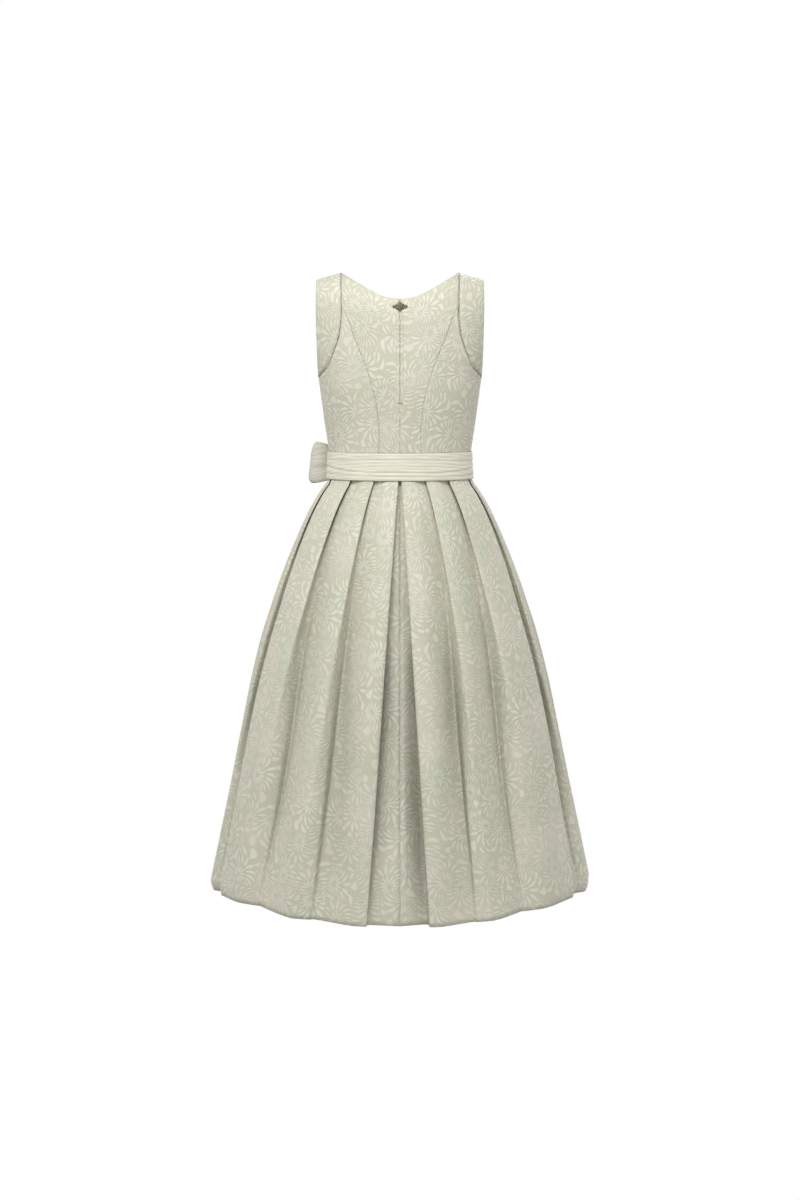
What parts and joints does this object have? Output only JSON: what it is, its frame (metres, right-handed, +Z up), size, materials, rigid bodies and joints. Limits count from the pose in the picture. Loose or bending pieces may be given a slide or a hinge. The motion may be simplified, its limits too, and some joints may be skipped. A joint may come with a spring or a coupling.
{
  "type": "dirndl dress",
  "caption": "Sleeveless dirndl dress in worn form: fitted seamed bodice, full skirt of knife pleats, and an apron whose ribbed sash ties in a bow at one side.",
  "frame": {"origin": "midway between the tops of the two shoulder straps, where the wearer's shoulders hold the dress", "axes": "+Z up, -Y towards the front, +X towards the wearer's left"},
  "size_m": [0.7177, 0.6848, 1.15],
  "materials": {
    "dress_jacquard": "pale sage and cream floral jacquard with a slight sheen",
    "apron_cloth": "cream cloth with fine cross ribs",
    "ornament_metal": "dark antiqued metal"
  },
  "bodies": {
    "root": {"back_centre_left": "dress_jacquard", "back_centre_right": "dress_jacquard", "back_side_left": "dress_jacquard", "back_side_right": "dress_jacquard", "back_armhole_left": "dress_jacquard", "back_armhole_right": "dress_jacquard", "front_centre": "dress_jacquard", "front_side_left": "dress_jacquard", "front_side_right": "dress_jacquard", "skirt_back_left": "dress_jacquard", "skirt_back_right": "dress_jacquard", "skirt_front": "dress_jacquard", "sash_back": "apron_cloth", "sash_front": "apron_cloth", "apron": "apron_cloth", "bow_knot": "apron_cloth", "bow_loop_left": "apron_cloth", "bow_loop_right": "apron_cloth", "bow_tail_left": "apron_cloth", "bow_tail_right": "apron_cloth", "ornament_flower": "ornament_metal", "ornament_leaf_left": "ornament_metal", "ornament_leaf_right": "ornament_metal"}
  },
  "joints": []
}
